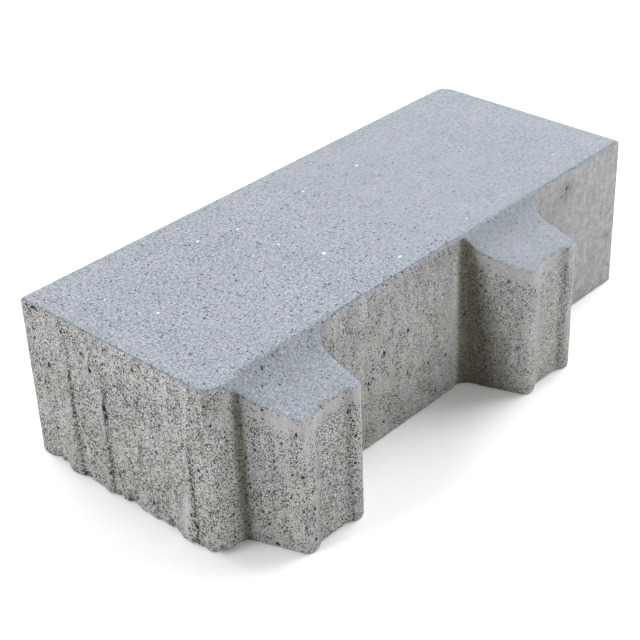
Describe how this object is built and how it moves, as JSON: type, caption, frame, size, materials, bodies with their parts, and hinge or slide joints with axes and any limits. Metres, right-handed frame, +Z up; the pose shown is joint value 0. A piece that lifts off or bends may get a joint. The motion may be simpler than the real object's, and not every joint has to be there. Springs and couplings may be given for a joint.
{
  "type": "concrete paving stone",
  "caption": "Long rectangular concrete paving stone with spacer lugs along one long side, for laying with a wide open drainage or grass joint.",
  "frame": {"origin": "centre of the body's flat bottom face, without the lugs and end ribs, where it lies on the bed", "axes": "+X along the stone away from its ribbed end, -Y the way the lugs stand out, +Z up to the wearing face"},
  "size_m": [0.2903, 0.143, 0.08],
  "materials": {
    "concrete": "matt as-cast grey concrete with fine sandy grain and open pores on its sides"
  },
  "bodies": {
    "root": {"paving_stone": "concrete"}
  },
  "joints": []
}
